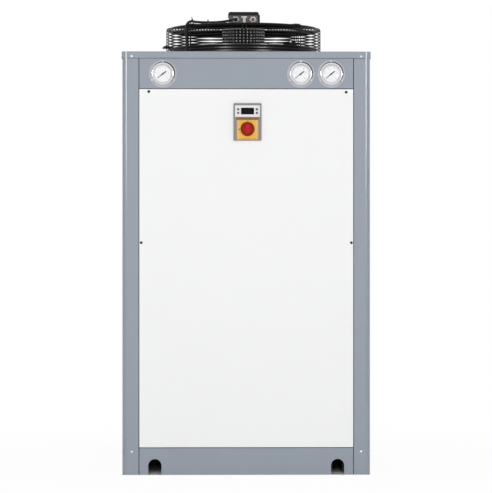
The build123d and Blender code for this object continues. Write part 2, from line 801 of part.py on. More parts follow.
# Controller with a display window and four keys
key_places = {
    "upper_left": (-key_offset_x, key_offset_z),
    "lower_left": (-key_offset_x, -key_offset_z),
    "upper_right": (key_offset_x, key_offset_z),
    "lower_right": (key_offset_x, -key_offset_z),
}
key_back = controller_depth + key_stand - key_length
with BuildPart() as controller:
    with BuildSketch(wall("front", along=control_x, z=controller_z)):
        RectangleRounded(controller_width, controller_height, control_radius)
    extrude(amount=controller_depth)
    with BuildSketch(wall("front", along=control_x, z=controller_z, out=controller_depth)):
        with Locations(*key_places.values()):
            Circle(key_radius + fit_clearance)
    extrude(amount=-(controller_depth - key_back + key_travel + fit_clearance), mode=Mode.SUBTRACT)
controller.part.label = "controller"
export_step(controller.part, "parts/controller.step")

with BuildPart() as display:
    with BuildSketch(wall("front", along=control_x, z=controller_z, out=controller_depth)):
        RectangleRounded(display_width, display_height, control_radius / 2)
    extrude(amount=display_depth)
display.part.label = "display"
export_step(display.part, "parts/display.step")

for name, (key_x, key_z) in key_places.items():
    with BuildPart() as key:
        with BuildSketch(wall("front", along=control_x + key_x, z=controller_z + key_z, out=key_back)):
            Circle(key_radius)
        extrude(amount=key_length)
        fillet(key.faces().sort_by(Axis.Y)[0].edges(), radius=key_stand / 3)
    key.part.label = f"key_{name}"
    export_step(key.part, f"parts/key_{name}.step")

# Main switch: a plate with bevelled sides, and a turning knob with a grip bar
with BuildPart() as switch_plate:
    with BuildSketch(wall("front", along=control_x, z=switch_z)):
        Rectangle(switch_size, switch_size)
    extrude(amount=switch_depth)
    plate_front = switch_plate.faces().sort_by(Axis.Y)[0]
    chamfer(plate_front.edges(), length=switch_bevel, length2=switch_bevel_depth, reference=plate_front)
    with BuildSketch(wall("front", along=control_x, z=switch_z)):
        Circle(knob_pin_radius + running_clearance)
    extrude(amount=switch_depth, mode=Mode.SUBTRACT)
switch_plate.part.label = "switch_plate"
export_step(switch_plate.part, "parts/switch_plate.step")

knob_back = switch_depth + knob_gap
with BuildPart() as switch_knob:
    with BuildSketch(wall("front", along=control_x, z=switch_z, out=knob_back)):
        Circle(knob_radius)
    extrude(amount=knob_base)
    fillet(switch_knob.faces().sort_by(Axis.Y)[0].edges(), radius=knob_round)
    with BuildSketch(wall("front", along=control_x, z=switch_z, out=knob_back + knob_base)):
        Circle(knob_radius - knob_rim)
    extrude(amount=-knob_dish, mode=Mode.SUBTRACT)
    with BuildSketch(wall("front", along=control_x, z=switch_z, out=knob_back + knob_base - knob_dish)):
        SlotOverall(2 * knob_radius - knob_rim, knob_grip_width, rotation=90)
    extrude(amount=knob_grip + knob_dish)
    fillet(switch_knob.faces().sort_by(Axis.Y)[0].edges(), radius=knob_round)
    with BuildSketch(wall("front", along=control_x, z=switch_z, out=knob_back)):
        Circle(knob_pin_radius)
    extrude(amount=-knob_back)
switch_knob.part.label = "switch_knob"
export_step(switch_knob.part, "parts/switch_knob.step")
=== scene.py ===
# %% [markdown]
# # A water chiller, dressed step by step
# The real object is a sheet metal cabinet with an axial fan on its roof. Its construction is already
# made and packed as a fixed frame, in metres, with the front facing -Y. This notebook gives each
# surface its finish and adds the small things that sit on it: screws, dial marks, fins, cable ties.
# Loading the frame first means that most of the later sizes and places can be read from it.

# %% Load the frame
import bpy
import bmesh
import json
import math
import random
from mathutils import Matrix, Vector


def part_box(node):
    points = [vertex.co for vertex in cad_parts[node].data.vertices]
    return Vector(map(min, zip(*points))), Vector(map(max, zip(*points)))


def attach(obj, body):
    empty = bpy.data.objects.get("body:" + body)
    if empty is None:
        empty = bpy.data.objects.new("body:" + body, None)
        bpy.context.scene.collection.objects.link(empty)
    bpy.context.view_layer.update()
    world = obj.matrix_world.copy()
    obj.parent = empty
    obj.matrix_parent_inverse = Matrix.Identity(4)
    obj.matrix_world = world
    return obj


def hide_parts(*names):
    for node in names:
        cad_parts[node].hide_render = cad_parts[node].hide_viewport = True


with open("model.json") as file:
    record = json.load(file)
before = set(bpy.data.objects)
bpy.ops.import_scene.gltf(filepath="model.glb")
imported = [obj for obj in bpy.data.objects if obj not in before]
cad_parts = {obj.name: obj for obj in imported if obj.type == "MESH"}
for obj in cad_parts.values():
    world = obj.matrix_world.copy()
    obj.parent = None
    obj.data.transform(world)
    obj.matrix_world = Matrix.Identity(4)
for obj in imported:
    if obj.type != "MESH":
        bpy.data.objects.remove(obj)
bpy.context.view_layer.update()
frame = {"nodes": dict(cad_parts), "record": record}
nodes = frame["nodes"]

# %% [markdown]
# ## Camera
# The photograph was taken from seven and a half metres away and about half the chiller's height: the
# underside of the guard's flat top shows, and the fan stands a little to one side of the cabinet's
# middle, because the lens stood to the left of it. The focal length is worked out from the size of
# one pixel on the front, so that the front falls on the same pixels as in the photograph.

# %% Camera
IMAGE_HEIGHT = 493
PIXEL_ON_FRONT = 0.00303
CAMERA_DISTANCE = 7.5
CAMERA_LEFT = 0.119
CAMERA_HEIGHT = 0.692
AIM_X = -0.001
FILM_HEIGHT = 36.0

front_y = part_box("front_panel")[0].y
camera_data = bpy.data.cameras.new("camera")
camera_data.sensor_width = FILM_HEIGHT
camera_data.lens = FILM_HEIGHT * CAMERA_DISTANCE / (IMAGE_HEIGHT * PIXEL_ON_FRONT)
camera_data.clip_end = 100
camera = bpy.data.objects.new("camera", camera_data)
bpy.context.scene.collection.objects.link(camera)
camera.location = (-CAMERA_LEFT, front_y - CAMERA_DISTANCE, CAMERA_HEIGHT)
aim = Vector((AIM_X, front_y, CAMERA_HEIGHT)) - camera.location
camera.rotation_euler = aim.to_track_quat("-Z", "Y").to_euler()
bpy.context.scene.camera = camera
bpy.context.scene.view_settings.view_transform = "Standard"
print("lens:", round(camera_data.lens, 1), "mm")

# %% [markdown]
# ## A shader notation
# A material in Blender is a graph of nodes. Wiring it by hand hides the arithmetic, so this class
# wraps one output socket: adding or multiplying two of them adds the Math node that does it, also
# with a plain number on the left. Everything else, such as a noise, comes from `node`, which sets the
# node's own settings first and then its sockets.

# %% Wires
class Wire:
    """One output socket of a material, used like a number."""

    def __init__(self, tree, socket):
        self.tree = tree
        self.socket = socket

    def node(self, kind, settings=None, sockets=None, out=0):
        made = self.tree.nodes.new("ShaderNode" + kind)
        for name, value in (settings or {}).items():
            setattr(made, name, value)
        for key, value in (sockets or {}).items():
            if isinstance(value, Wire):
                self.tree.links.new(value.socket, made.inputs[key])
            else:
                made.inputs[key].default_value = value
        return Wire(self.tree, made.outputs[out])

    def math(self, operation, *values):
        return self.node("Math", {"operation": operation}, dict(enumerate(values)))

    def vector(self, operation, *values):
        return self.node("VectorMath", {"operation": operation}, dict(enumerate(values)))

    def length(self):
        return self.node("VectorMath", {"operation": "LENGTH"}, {0: self}, out=1)

    def axis(self, index):
        """One coordinate of a vector: 0, 1 or 2 for x, y or z."""
        return self.node("SeparateXYZ", None, {0: self}, out=index)

    def __add__(self, other):
        return self.math("ADD", self, other)

    def __sub__(self, other):
        return self.math("SUBTRACT", self, other)

    def __rsub__(self, other):
        return self.math("SUBTRACT", other, self)

    def __mul__(self, other):
        return self.math("MULTIPLY", self, other)

    def __gt__(self, other):
        return self.math("GREATER_THAN", self, other)

    def __lt__(self, other):
        return self.math("LESS_THAN", self, other)

    __radd__ = __add__
    __rmul__ = __mul__


# %% [markdown]
# ## The start and the end of every finish
# Each finish begins with the point being shaded, in metres in the object's own frame, and ends in a
# Principled shader. Only what varies over the surface is wired; a plain number is set on the socket.

# %% Begin and end a finish
def emptied(owner, kind):
    """Leaves only an output in the node tree of a material or world, and gives a wire to build from."""
    owner.use_nodes = True
    owner.node_tree.nodes.clear()
    output = owner.node_tree.nodes.new("ShaderNodeOutput" + kind)
    return Wire(owner.node_tree, output.inputs[0])


def show(shader):
    """Wires a shader to the output of its tree."""
    output = next(n for n in shader.tree.nodes if n.type.startswith("OUTPUT"))
    shader.tree.links.new(shader.socket, output.inputs["Surface"])


def begin(name):
    """A new material and the wire of its surface point."""
    material = bpy.data.materials.new(name)
    return material, emptied(material, "Material").node("TexCoord", out=3)


def end(material, point, **sockets):
    """Wires a Principled shader from sockets named in words, such as base_color and roughness."""
    named = {}
    for name, value in sockets.items():
        words = name.replace("_", " ").title().replace("Ior", "IOR")
        named[words] = (*value, 1.0) if isinstance(value, tuple) else value
    show(point.node("BsdfPrincipled", None, named))
    return material


def noise(point, scale, detail=2.0):
    """A cloudy value from 0 to 1. The scale counts blobs in a metre."""
    return point.node("TexNoise", None, {"Vector": point, "Scale": scale, "Detail": detail})


def bump(height, distance, strength):
    """A surface that rises by distance metres where height is 1."""
    return height.node("Bump", None, {"Height": height, "Distance": distance, "Strength": strength})


def ramp(value, first, last, low=0.0, high=1.0):
    """Runs from low to high while the value runs from first to last."""
    return value.node("MapRange", None, {"Value": value, 1: first, 2: last, 3: low, 4: high})


def blend(share, low, high):
    """A colour between two others."""
    low, high = ((*colour, 1.0) if isinstance(colour, tuple) else colour for colour in (low, high))
    return share.node("Mix", {"data_type": "RGBA"}, {0: share, 6: low, 7: high}, out=2)


def shade(colour, factor):
    """The same colour, lighter or darker."""
    return tuple(c * factor for c in colour)


# %% [markdown]
# ## Places read from the record
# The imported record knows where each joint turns. The gauges and the main switch are round things on
# those axes, so their centres come from there, and their finishes can change with the distance from
# them.

# %% Centres of the round things
joints = frame["record"]["behaviour"]["joints"]
joint_places = {joint["name"]: Vector(joint["pos_m"]) for joint in joints if "pos_m" in joint}
gauge_centres = {name.split("_")[0]: place for name, place in joint_places.items() if "gauge" in name}
switch_centre = joint_places["main_switch_turn"]
print("gauges at x", [round(place.x, 4) for place in gauge_centres.values()])


def flat_distance(point, centre):
    """How far the shaded point is from an axis that runs from front to rear."""
    offset = point.vector("SUBTRACT", point, tuple(centre))
    return point.vector("MULTIPLY", offset, (1.0, 0.0, 1.0)).length()


# %% [markdown]
# ## Powder coat
# Frame and panels are sheet steel under a baked powder. Close up it has a faint orange peel of about
# two millimetres, and over a large panel its tone drifts by less than a percent. Both are noises: a
# fine one that bumps the surface and mottles it a little, and a broad one that shifts colour and
# gloss. Low down its tone falls a little, over the lowest nine centimetres.

# %% Powder coat
DARKENING_HEIGHT = 0.09


def powder_coat(name, colour, gloss, specular=0.5):
    material, point = begin(name)
    broad = noise(point, 2.3, 3.0)
    fine = noise(point, 420.0, 1.0)
    # The tone falls towards the bottom, over the lowest nine centimetres.
    low_darkening = ramp(point.axis(2), 0.0, DARKENING_HEIGHT, 0.05, 0.0)
    tone = broad * 0.05 + fine * 0.3 - low_darkening
    colour_wire = blend(tone + 0.32, shade(colour, 0.94), shade(colour, 1.06))
    return end(
        material, point, base_color=colour_wire, roughness=broad * 0.08 + (gloss - 0.04),
        specular_ior_level=specular, normal=bump(fine, 0.00004, 0.5),
    )


# %% [markdown]
# ## Black paint on wire
# The guard is dipped after welding, so its coat is thicker and glossier in the corners. A noise of a
# few centimetres varies the gloss, and a fine one makes the skin uneven. The specular level is low:
# on thin black wire a strong gloss would turn the whole guard grey.

# %% Dipped wire
def dipped_black(name, colour):
    material, point = begin(name)
    thick = noise(point, 38.0, 2.0)
    sag = noise(point, 650.0, 1.0)
    return end(
        material, point, base_color=blend(thick, shade(colour, 0.7), shade(colour, 1.3)),
        roughness=thick * 0.18 + 0.27, specular_ior_level=0.12, normal=bump(sag, 0.00005, 0.5),
    )


# %% [markdown]
# ## Bare metal
# Four kinds show: the galvanised sheet inside, with its crystals; the cast motor, dull and sandy; the
# bright rolled fins of the condenser; and plated or drawn metal, from screws to copper tubes. A
# Voronoi texture gives the zinc crystals a tone each, because that is what they are: cells that meet
# at straight boundaries.

# %% Galvanised sheet
def galvanised(name):
    material, point = begin(name)
    crystal = point.node("TexVoronoi", None, {"Vector": point, "Scale": 110.0}, out=1)
    tone = crystal.axis(0)
    colour = blend(tone, (0.42, 0.43, 0.44), (0.62, 0.63, 0.64))
    return end(material, point, base_color=colour, metallic=0.85, roughness=tone * 0.25 + 0.3)


# %% Cast alloy
FIN_ROOT, FIN_EDGE = 0.0585, 0.066


def cast_alloy(name, colour):
    """Full colour on the fins' edges and near black between them, as painted shade in the gaps."""
    material, point = begin(name)
    sand = noise(point, 900.0, 3.0)
    out_from_axis = point.vector("MULTIPLY", point, (1.0, 1.0, 0.0)).length()
    # Painted shade: the colour falls to near black between the fins.
    out_of_fin_shade = ramp(out_from_axis, FIN_ROOT, FIN_EDGE)
    return end(
        material, point, base_color=blend(out_of_fin_shade, shade(colour, 0.05), colour),
        metallic=0.25, roughness=sand * 0.2 + 0.38, normal=bump(sand, 0.00012, 0.6),
    )


# %% Plated and rolled metal
def plated(name, colour, gloss):
    material, point = begin(name)
    streak = noise(point, 260.0, 2.0)
    return end(
        material, point, base_color=blend(streak, shade(colour, 0.9), shade(colour, 1.08)),
        metallic=1.0, roughness=streak * 0.14 + gloss,
    )


def rolled_fin(name):
    material, point = begin(name)
    drawn = point.vector("MULTIPLY", point, (40.0, 900.0, 4.0))
    streak = noise(drawn, 1.0, 3.0)
    return end(
        material, point, base_color=blend(streak, (0.34, 0.36, 0.37), (0.6, 0.62, 0.63)),
        metallic=0.9, roughness=streak * 0.25 + 0.25,
    )


# %% [markdown]
# ## Turned brass
# The water sockets are turned from bar. A sine across the axis, one wave in a millimetre, is the
# feed mark that the tool leaves, and it goes into the bump only.

# %% Turned brass
FEED_RADIANS_PER_METRE = 6283.0


def turned_brass(name):
    material, point = begin(name)
    turned = point.axis(1) * FEED_RADIANS_PER_METRE
    feed = turned.math("SINE", turned)
    tarnish = noise(point, 70.0, 3.0)
    return end(
        material, point, base_color=blend(tarnish, (0.5, 0.33, 0.13), (0.72, 0.53, 0.25)), metallic=1.0,
        roughness=tarnish * 0.2 + 0.2, normal=bump(feed, 0.00003, 0.4),
    )


# %% [markdown]
# ## Gauge case
# A case is one steel pressing with two finishes: the bezel round the glass is polished, and the
# flange against the panel is satin. The mask is the distance from the nearest gauge's axis, so one
# material serves all three cases, and the boundary is a circle that no texture map has to hold.

# %% Gauge case finish
BEZEL_REACH = 0.0352


def gauge_case_finish(name):
    material, point = begin(name)
    near = None
    for centre in gauge_centres.values():
        away = flat_distance(point, centre)
        near = away if near is None else away.math("MINIMUM", near, away)
    flange = near > BEZEL_REACH
    streak = noise(point, 320.0, 2.0)
    bright = blend(streak, (0.6, 0.6, 0.61), (0.74, 0.74, 0.75))
    satin = blend(streak, (0.33, 0.34, 0.375), (0.39, 0.4, 0.44))
    return end(
        material, point, base_color=blend(flange, bright, satin), metallic=1.0 - flange * 0.65,
        roughness=flange * 0.3 + streak * 0.08 + 0.1,
    )


# %% [markdown]
# ## Plastics and rubber
# Moulded parts have a spark-eroded grain or a gloss, and a slightly uneven tone. One function with a
# grain size covers them all, and rubber and printed ink too, which differ in grain and gloss only.

# %% Moulded plastic
def moulded(name, colour, gloss, grain=0.00003, grain_scale=1500.0, specular=0.5):
    material, point = begin(name)
    cloud = noise(point, 40.0)
    pores = noise(point, grain_scale, 1.0)
    return end(
        material, point, base_color=blend(cloud, shade(colour, 0.93), shade(colour, 1.05)),
        roughness=cloud * 0.1 + (gloss - 0.05), specular_ior_level=specular, normal=bump(pores, grain, 0.6),
    )


# %% [markdown]
# The knob's outer band is darker than its dish: painted shade on its rim. The plate's sloped border
# is paler at the sides than the middle, as painted light on the side slopes, and its upper slope is
# darker, as a painted shadow under the controller. All are masks of distance: round for the knob,
# straight for the plate.

# %% Knob and plate
DISH_ENDS, RIM_SHADE_STARTS = 0.0128, 0.0153
PLATE_MIDDLE = 0.0268


def knob_finish(name):
    material, point = begin(name)
    # Painted shade: the knob's outer band is darker than its dish.
    rim_shade = ramp(flat_distance(point, switch_centre), DISH_ENDS, RIM_SHADE_STARTS)
    cloud = noise(point, 55.0)
    colour = blend(rim_shade, (0.46, 0.014, 0.02), (0.23, 0.02, 0.0))
    return end(
        material, point, base_color=blend(cloud * 0.06, colour, (0.5, 0.05, 0.05)),
        roughness=cloud * 0.1 + 0.32, specular_ior_level=0.1,
        normal=bump(noise(point, 1300.0, 1.0), 0.00002, 0.5),
    )


def plate_finish(name):
    material, point = begin(name)
    offset = point.vector("ABSOLUTE", point.vector("SUBTRACT", point, tuple(switch_centre)))
    cloud = noise(point, 45.0)
    # Painted light: the side slopes of the border are paler than the middle.
    sides = blend(offset.axis(0) > PLATE_MIDDLE, (0.81, 0.435, 0.05), (0.75, 0.52, 0.2))
    # Painted shadow: the upper slope is darker, as the shade under the controller.
    colour = blend(point.axis(2) > switch_centre.z + PLATE_MIDDLE, sides, (0.3, 0.17, 0.045))
    return end(
        material, point, base_color=blend(cloud * 0.1, colour, (0.8, 0.5, 0.12)),
        roughness=cloud * 0.1 + 0.32, normal=bump(noise(point, 1300.0, 1.0), 0.00002, 0.5),
    )


# %% [markdown]
# ## Clear glass
# Behind the bezel is flat window glass. It is a mostly see-through coat with a faint smear, so the
# dial reads white through it while the bezel still mirrors the room.

# %% Window glass
def clear_glass(name):
    material, point = begin(name)
    smear = noise(point, 30.0)
    return end(
        material, point, base_color=(0.96, 0.98, 0.98), roughness=smear * 0.03 + 0.01,
        alpha=smear * 0.03 + 0.02,
    )


# %% [markdown]
# ## Give each node its finish
# A carried-over node keeps its mesh and gets a material in its slot. One table says which node wears
# which finish, so the whole colour scheme can be read in one place. Colours are linear values.

# %% Sheet and wire finishes
FRAME_BLUE = (0.28, 0.315, 0.366)
PANEL_WHITE = (0.885, 0.888, 0.888)
WIRE_BLACK = (0.006, 0.006, 0.0065)

frame_paint = powder_coat("frame_paint", FRAME_BLUE, 0.2)
panel_paint = powder_coat("panel_paint", PANEL_WHITE, 0.42, specular=0.22)
ring_black = powder_coat("ring_black", (0.014, 0.014, 0.016), 0.3)
wire_black = dipped_black("wire_black", WIRE_BLACK)
zinc = galvanised("zinc_sheet")
motor_alloy = cast_alloy("motor_alloy", (0.84, 0.79, 0.78))
brass = turned_brass("port_brass")
fin_metal = rolled_fin("fin_metal")
gauge_steel = gauge_case_finish("gauge_steel")

# %% Plastic finishes
box_grey = moulded("box_grey", (0.095, 0.077, 0.083), 0.45)
box_black = moulded("box_black", (0.007, 0.007, 0.008), 0.45, specular=0.18)
gland_grey = moulded("gland_grey", (0.8, 0.77, 0.76), 0.4)
cable_black = moulded("cable_black", (0.006, 0.006, 0.007), 0.5, specular=0.2)
dial_white = moulded("dial_white", (0.93, 0.93, 0.945), 0.5)
needle_black = moulded("needle_black", (0.02, 0.02, 0.022), 0.35)
control_grey = moulded("control_grey", (0.226, 0.214, 0.209), 0.45, 0.00005)
controller_pale = moulded("controller_pale", (0.79, 0.755, 0.765), 0.45, 0.00004)
display_black = moulded("display_black", (0.002, 0.002, 0.0025), 0.2, 0.0, specular=0.08)
key_dark = moulded("key_dark", (0.075, 0.078, 0.082), 0.4)
switch_yellow = plate_finish("switch_yellow")
switch_red = knob_finish("switch_red")
glass = clear_glass("gauge_glass")
print("finishes:", len(bpy.data.materials))

# %% Who wears what
FINISH_OF = {
    frame_paint: "corner_post_front_left corner_post_front_right corner_post_rear_left "
    "corner_post_rear_right base_rail_front base_rail_rear base_rail_left base_rail_right "
    "gauge_panel rear_header left_header right_header top_panel",
    panel_paint: "front_panel left_front_panel left_rear_panel right_panel rear_panel",
    zinc: "floor_tray lifting_channels left_mullion plenum_floor condenser_frame",
    fin_metal: "condenser_coil",
    ring_black: "fan_ring fan_rotor condenser_grille",
    wire_black: "guard_rings guard_ribs",
    motor_alloy: "fan_motor",
    box_grey: "terminal_box",
    box_black: "terminal_box_cover",
    gland_grey: "cable_glands cable_clip power_gland",
    cable_black: "fan_cable cable_grommet",
    gauge_steel: "gauge_cases",
    dial_white: "gauge_dials",
    glass: "gauge_glasses",
    needle_black: "gauge_needle_left gauge_needle_middle gauge_needle_right",
    control_grey: "control_frame",
    controller_pale: "controller",
    display_black: "display",
    key_dark: "key_upper_left key_lower_left key_upper_right key_lower_right",
    switch_yellow: "switch_plate",
    switch_red: "switch_knob",
    brass: "water_ports",
}


def wear(node, material):
    """Puts a material in every slot of a carried-over node."""
    if not node.material_slots:
        node.data.materials.append(material)
    for slot in node.material_slots:
        slot.material = material


for material, names in FINISH_OF.items():
    for name in names.split():
        wear(nodes[name], material)
undressed = set(nodes) - {n for names in FINISH_OF.values() for n in names.split()}
print("nodes without a finish:", sorted(undressed))

# %% [markdown]
# ## Floor
# The picture is a packshot on white. The floor is plain and pale and keeps the object's shadow. To
# the camera and in reflections it is lifted towards white, more with distance, which hides the
# horizon. Under the cabinet it isn't lifted, so the lifting slots stay as dark as they are.

# %% Floor
FLOOR_REACH = 60.0
LIFT_STARTS, LIFT_ENDS = 0.6, 1.8
FLOOR_GREY = (0.86, 0.86, 0.86, 1)
floor_mesh = bpy.data.meshes.new("floor")
floor_corners = [(x * FLOOR_REACH, y * FLOOR_REACH, 0) for x, y in ((-1, -1), (1, -1), (1, 1), (-1, 1))]
floor_mesh.from_pydata(floor_corners, [], [(0, 1, 2, 3)])
floor = bpy.data.objects.new("floor", floor_mesh)
bpy.context.scene.collection.objects.link(floor)


def seen_directly(wire):
    """1 for rays from the camera, from gloss and through glass, and 0 for soft light."""
    paths = [wire.node("LightPath", out=index) for index in (0, 3, 6)]
    total = paths[0] + paths[1] + paths[2]
    return total.math("MINIMUM", total, 1.0)


# %% Floor finish
floor_finish, floor_point = begin("floor_finish")
footprint = floor_point.vector("ABSOLUTE", floor_point)
cabinet_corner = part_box("corner_post_rear_right")[1]
beyond_side = footprint.axis(0) > cabinet_corner.x
beyond_front = footprint.axis(1) > cabinet_corner.y
outside = floor_point.math("MAXIMUM", beyond_side, beyond_front)
lift = ramp(floor_point.length(), LIFT_STARTS, LIFT_ENDS, 0.95, 1.0)
plain = floor_point.node("BsdfDiffuse", None, {"Color": FLOOR_GREY})
glow = floor_point.node("Emission", None, {"Color": (1, 1, 1, 1), "Strength": 1.0})
share = seen_directly(floor_point) * outside * lift
show(floor_point.node("MixShader", None, {0: share, 1: plain, 2: glow}))
floor_mesh.materials.append(floor_finish)
print("floor lifted outside", round(cabinet_corner.x, 3), round(cabinet_corner.y, 3))

# %% [markdown]
# ## World and lamps
# The world is white where it is seen and dimmer where it lights, so the object gets a plain level of
# soft light. Two soft boxes hang in front, left and right, and are only mirrored: the rounded corner
# posts show them as the thin bright lines of a rounding, bright beside the header and fading further
# down. Four large lamps light the front, the sides and the rear, and aren't mirrored, because that
# would bleach the gauges. All powers together make a colour render about as it is written.

# %% World
AMBIENT = 0.37
world = bpy.data.worlds.new("studio")
bpy.context.scene.world = world
sky = emptied(world, "World")
soft = sky.node("Background", None, {"Color": (1, 1, 1, 1), "Strength": AMBIENT})
white = sky.node("Background", None, {"Color": (1, 1, 1, 1), "Strength": 1.0})
show(sky.node("MixShader", None, {0: seen_directly(sky), 1: soft, 2: white}))


# %% Lamps
def soft_box(name, place, target, width, height, power):
    """A rectangular area lamp that looks at a point."""
    data = bpy.data.lights.new(name, "AREA")
    data.shape = "RECTANGLE"
    data.size, data.size_y = width, height
    data.energy = power
    lamp = bpy.data.objects.new(name, data)
    bpy.context.scene.collection.objects.link(lamp)
    lamp.location = place
    lamp.rotation_euler = (Vector(target) - Vector(place)).to_track_quat("-Z", "Y").to_euler()
    return lamp


MIDDLE, ABOVE_ROOF = (0.0, 0.0, 0.75), (0.0, 0.0, 1.5)
for side, name in ((-1, "left"), (1, "right")):
    gleam = soft_box(name + "_gleam", (side * 2.6, -4.6, 1.62), ABOVE_ROOF, 1.1, 0.94, 78)
    gleam.visible_diffuse = False
    fill = soft_box(name + "_fill", (side * 5.2, 2.4, 2.2), MIDDLE, 3.0, 3.0, 70)
    fill.visible_glossy = False
front_lamp = soft_box("front_lamp", (0.0, -6.0, 1.6), MIDDLE, 3.2, 3.2, 172)
front_lamp.visible_glossy = False
back_lamp = soft_box("back_lamp", (0.6, 5.4, 2.4), MIDDLE, 3.0, 3.0, 105)
back_lamp.visible_glossy = False
print("lamps:", len(bpy.data.lights))

# %% [markdown]
# ## Helpers for added pieces
# Everything added is a mesh of its own, made with bmesh. All of it sits on the cabinet, as nothing
# small was left off the moving parts. `add_piece` does the bookkeeping once: name, material, body,
# and smooth shading with the edges sharper than 35 degrees kept crisp.

# %% Add a piece
CRISP = math.radians(35)


def add_piece(name, mesh_maker, material):
    """A new mesh object on the cabinet. mesh_maker fills a bmesh in the frame's coordinates."""
    work = bmesh.new()
    mesh_maker(work)
    bmesh.ops.recalc_face_normals(work, faces=work.faces)
    for face in work.faces:
        face.smooth = True
    for edge in work.edges:
        edge.smooth = len(edge.link_faces) == 2 and edge.calc_face_angle(0.0) < CRISP
    mesh = bpy.data.meshes.new(name)
    work.to_mesh(mesh)
    work.free()
    mesh.materials.append(material)
    piece = bpy.data.objects.new(name, mesh)
    bpy.context.scene.collection.objects.link(piece)
    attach(piece, "cabinet")
    print(name, "faces:", len(mesh.polygons))
    return piece


# %% Places on a surface
FRONT, REAR, LEFT, RIGHT, UP = (0, -1, 0), (0, 1, 0), (-1, 0, 0), (1, 0, 0), (0, 0, 1)


def facing(place, outward, turn=0.0):
    """A matrix that stands local +Z on a surface point, along its outward normal."""
    upright = Vector(outward).to_track_quat("Z", "Y").to_matrix().to_4x4()
    return Matrix.Translation(place) @ upright @ Matrix.Rotation(turn, 4, "Z")


def polar(radius, angle, z=0.0):
    """A point at a radius and an angle in degrees."""
    return Vector((radius * math.cos(math.radians(angle)), radius * math.sin(math.radians(angle)), z))


def circle(radius, sides, z=0.0):
    """Points evenly round a circle."""
    return [polar(radius, 360 * side / sides, z) for side in range(sides)]


# %% [markdown]
# ## A skin over loops of points
# Nearly every added shape is a row of closed loops with as many points each, from a turned bolt to a
# folded fin. One helper spans the faces between neighbouring loops and closes the two ends, or joins
# the last loop to the first where the row itself runs round.

# %% Skin and lathe
def skin(work, loops, around=False):
    """Faces between neighbouring loops of points. The ends are capped unless the loops run around."""
    rings = [[work.verts.new(point) for point in loop] for loop in loops]
    following_rings = rings[1:] + rings[:1] if around else rings[1:]
    for ring, following in zip(rings, following_rings):
        for index in range(len(ring)):
            after = (index + 1) % len(ring)
            work.faces.new((ring[index], ring[after], following[after], following[index]))
    if not around:
        work.faces.new(rings[0])
        work.faces.new(rings[-1])


def lathe(work, matrix, profile, sides, closed=False):
    """Turns a profile of radius and height about local Z. A closed one gives a ring."""
    loops = [[matrix @ spot for spot in circle(radius, sides, height)] for radius, height in profile]
    skin(work, loops, around=closed)


# %% [markdown]
# ## Screw and rivet heads
# Panels are held by pan-head screws with a cross recess, and the roof by small blind rivets. A head
# is rings of points at growing radius and falling height. The recess is pressed in by lowering the
# points that lie in a cross, as the punch does.

# %% Pressed heads
HEAD_SIDES = 28
HEAD_RINGS = 8
DOME_FALL, DOME_POWER = 0.86, 2.4
RECESS_ARM, RECESS_FLOOR = 0.3, 0.4


def press_head(work, matrix, size, cross):
    """A domed head of a radius and height. The cross is the recess's reach as a share of the radius."""
    radius, height = size
    arm = radius * cross
    rings = []
    for ring in range(1, HEAD_RINGS + 1):
        share = ring / HEAD_RINGS
        spots = circle(radius * share, HEAD_SIDES, height * math.sqrt(1 - DOME_FALL * share**DOME_POWER))
        for spot in spots:
            near, far = sorted((abs(spot.x), abs(spot.y)))
            if near < arm * RECESS_ARM and far < arm:
                spot.z *= RECESS_FLOOR
        rings.append([work.verts.new(matrix @ spot) for spot in spots])
    rings.append([work.verts.new(matrix @ spot) for spot in circle(radius, HEAD_SIDES)])
    middle = work.verts.new(matrix @ Vector((0, 0, height * (RECESS_FLOOR if cross else 1))))
    for side in range(HEAD_SIDES):
        after = (side + 1) % HEAD_SIDES
        work.faces.new((middle, rings[0][side], rings[0][after]))
        for inner, outer in zip(rings, rings[1:]):
            work.faces.new((inner[side], outer[side], outer[after], inner[after]))
    work.faces.new(rings[-1])


def heads(name, spots, size, material, cross=0.6):
    """A set of equal heads as one piece. Each spot is a place and the way it faces."""
    spin = random.Random(name)

    def fill(work):
        for place, outward in spots:
            press_head(work, facing(place, outward, spin.uniform(0, math.pi)), size, cross)

    add_piece(name, fill, material)


# %% [markdown]
# ## Screws of the panels
# The front panel has two dark screws under the header and two half way down its edges, placed as in
# the photograph. The other panels, which it doesn't show, get one at each corner, and the tall ones
# another half way, because each of them also has to come off for service.

# %% Screw finishes and the front panel
bright_screw = plated("bright_screw", (0.62, 0.63, 0.64), 0.28)
dark_screw = plated("dark_screw", (0.05, 0.05, 0.052), 0.36)
PANEL_HEAD = (0.0043, 0.0018)
FRONT_SCREWS = ((-0.2954, 1.1612), (0.3028, 1.1597), (-0.3185, 0.7035), (0.3185, 0.7035))
front_spots = [((x, front_y, z), FRONT) for x, z in FRONT_SCREWS]
heads("front_panel_screws", front_spots, PANEL_HEAD, dark_screw)


# %% Screws of the sides and the rear
def edge_spots(node, outward, inset, rows):
    """Places along a panel's two upright edges, at rows given as shares of its height."""
    low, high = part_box(node)
    across = 0 if outward[1] else 1
    face = (low if min(outward) < 0 else high)[1 - across]
    spots = []
    for edge in (low[across] + inset, high[across] - inset):
        for row in rows:
            z = low.z + inset + row * (high.z - low.z - 2 * inset)
            spots.append(((edge, face, z) if across == 0 else (face, edge, z), outward))
    return spots


PANEL_INSET, CONDENSER_INSET = 0.019, 0.0085
side_spots = []
for panel, outward, rows in (
    ("left_front_panel", LEFT, (0, 0.5, 1)),
    ("left_rear_panel", LEFT, (0, 0.5, 1)),
    ("right_panel", RIGHT, (0, 1)),
    ("rear_panel", REAR, (0, 0.5, 1)),
):
    side_spots += edge_spots(panel, outward, PANEL_INSET, rows)
heads("service_panel_screws", side_spots, PANEL_HEAD, dark_screw)
frame_spots = edge_spots("condenser_frame", RIGHT, CONDENSER_INSET, (0, 0.25, 0.5, 0.75, 1))
heads("condenser_frame_screws", frame_spots, (0.0032, 0.0015), bright_screw)
